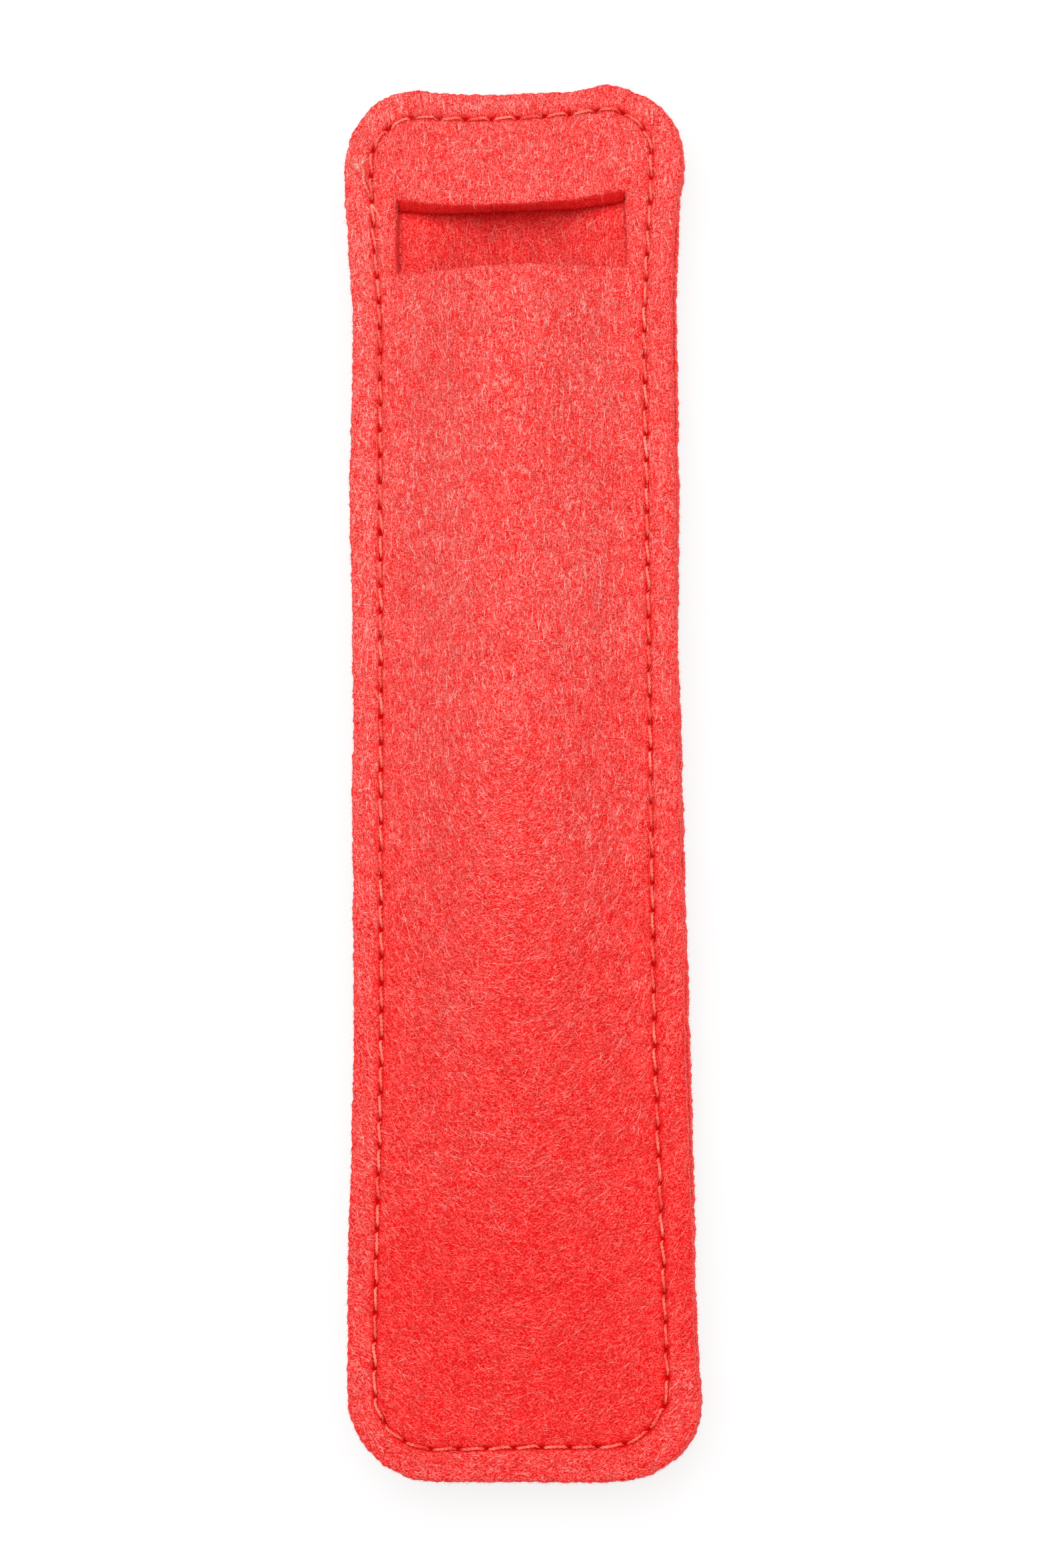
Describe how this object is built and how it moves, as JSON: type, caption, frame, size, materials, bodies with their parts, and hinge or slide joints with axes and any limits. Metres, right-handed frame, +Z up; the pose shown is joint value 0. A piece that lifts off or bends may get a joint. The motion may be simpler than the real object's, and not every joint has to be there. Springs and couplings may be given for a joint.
{
  "type": "single pen sleeve",
  "caption": "Slim red felt sleeve for one pen, two panels lockstitched all round, with a window near the top whose lower edge is the pocket's mouth.",
  "frame": {"origin": "middle of the sleeve's footprint, at the height of the table it lies on", "axes": "+Y along the sleeve towards its window end, +Z up out of the front panel, +X to the right as seen from the front with the window at the top"},
  "size_m": [0.0398, 0.165, 0.0158],
  "materials": {
    "felt_front": "needled red felt, matte, with pale fibres lying on the face",
    "felt_back": "the same felt, a little darker and smoother",
    "thread": "two-ply spun sewing thread, slightly paler and more orange than the felt"
  },
  "bodies": {
    "root": {"front_panel": "felt_front", "back_panel": "felt_back", "needle_thread": "thread", "bobbin_thread": "thread"}
  },
  "joints": []
}
